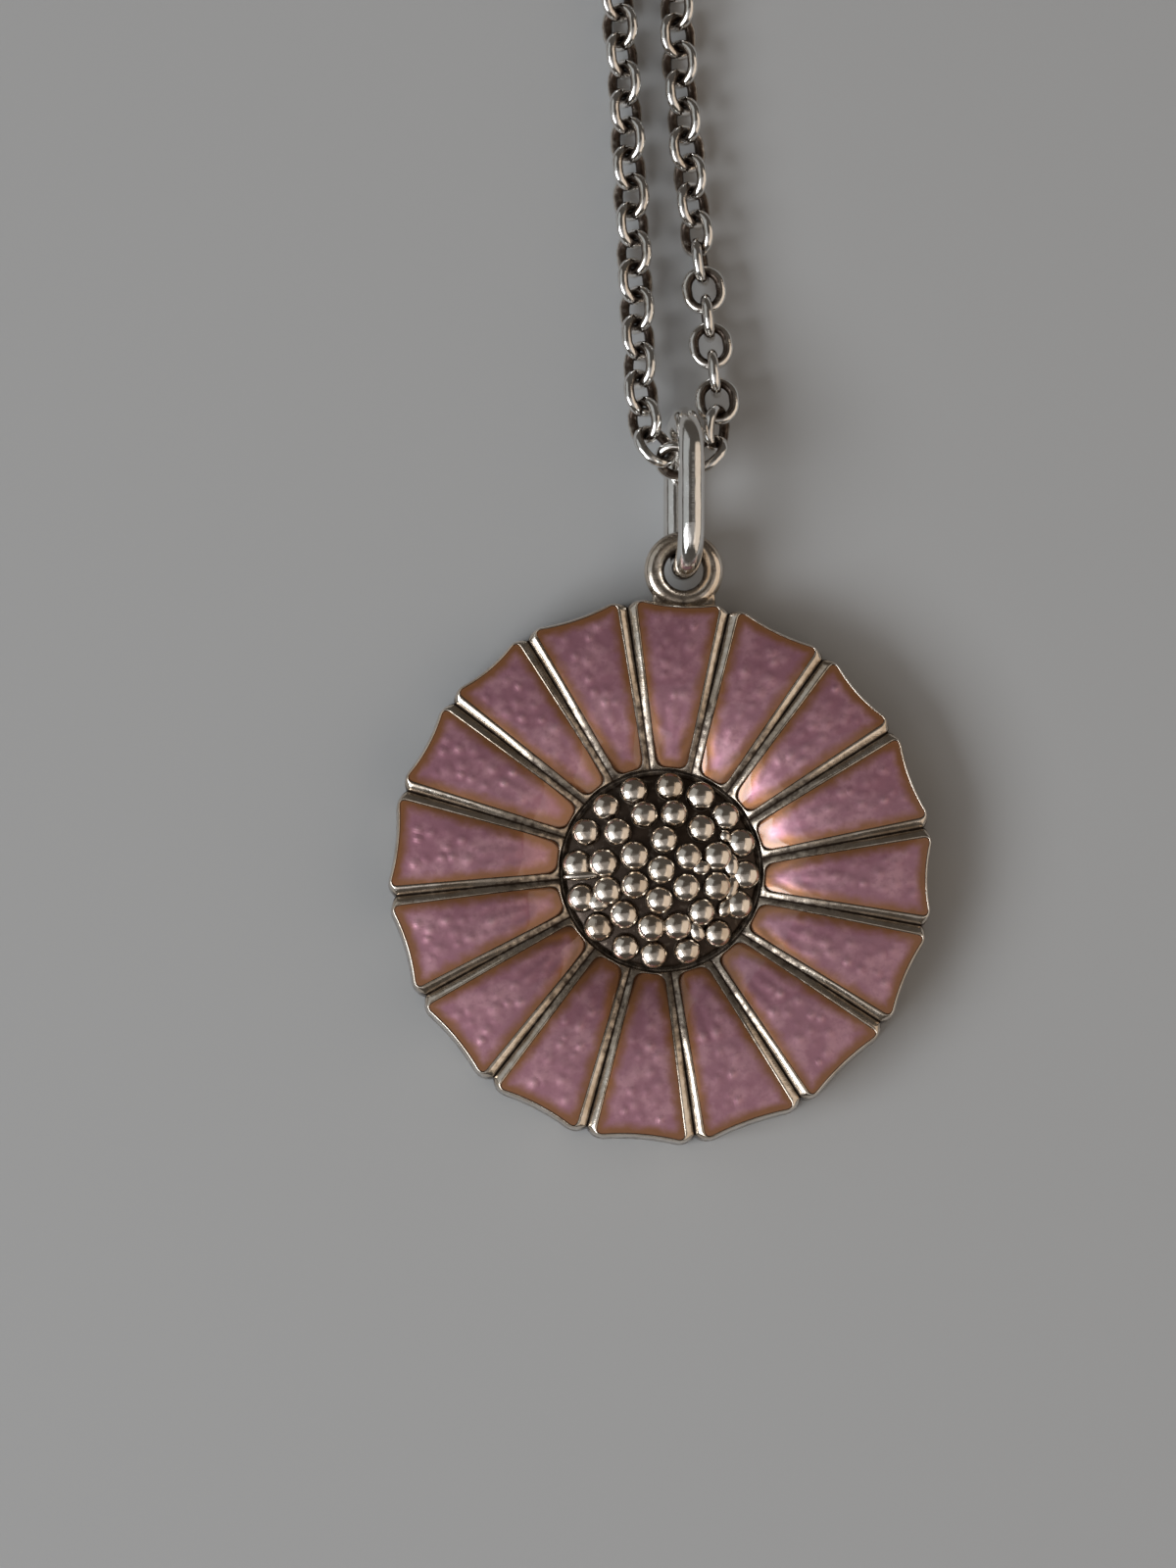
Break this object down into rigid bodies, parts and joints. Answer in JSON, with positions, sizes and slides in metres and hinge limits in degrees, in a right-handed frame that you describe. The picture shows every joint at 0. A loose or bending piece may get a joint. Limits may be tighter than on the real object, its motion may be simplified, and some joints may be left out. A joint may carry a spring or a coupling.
{
  "type": "silver necklace with an enamelled daisy pendant",
  "caption": "Fine silver cable chain necklace lying flat, with a round daisy pendant: translucent pink enamel petals, a beaded dark centre, and a long oval bail.",
  "frame": {"origin": "middle of the flower's flat back", "axes": "+Z out of the flower's face, +Y from the flower along the necklace to the clasp"},
  "size_m": [0.1091, 0.211, 0.0048],
  "materials": {
    "silver_flower": "satin",
    "enamel_pink": "glossy",
    "silver_bail": "polished",
    "silver_chain": "polished"
  },
  "bodies": {
    "root": {"daisy_body": "silver_flower", "enamel_01": "enamel_pink", "enamel_02": "enamel_pink", "enamel_03": "enamel_pink", "enamel_04": "enamel_pink", "enamel_05": "enamel_pink", "enamel_06": "enamel_pink", "enamel_07": "enamel_pink", "enamel_08": "enamel_pink", "enamel_09": "enamel_pink", "enamel_10": "enamel_pink", "enamel_11": "enamel_pink", "enamel_12": "enamel_pink", "enamel_13": "enamel_pink", "enamel_14": "enamel_pink", "enamel_15": "enamel_pink", "enamel_16": "enamel_pink", "bail": "silver_bail", "chain": "silver_chain", "clasp": "silver_chain", "end_ring": "silver_chain"}
  },
  "joints": []
}
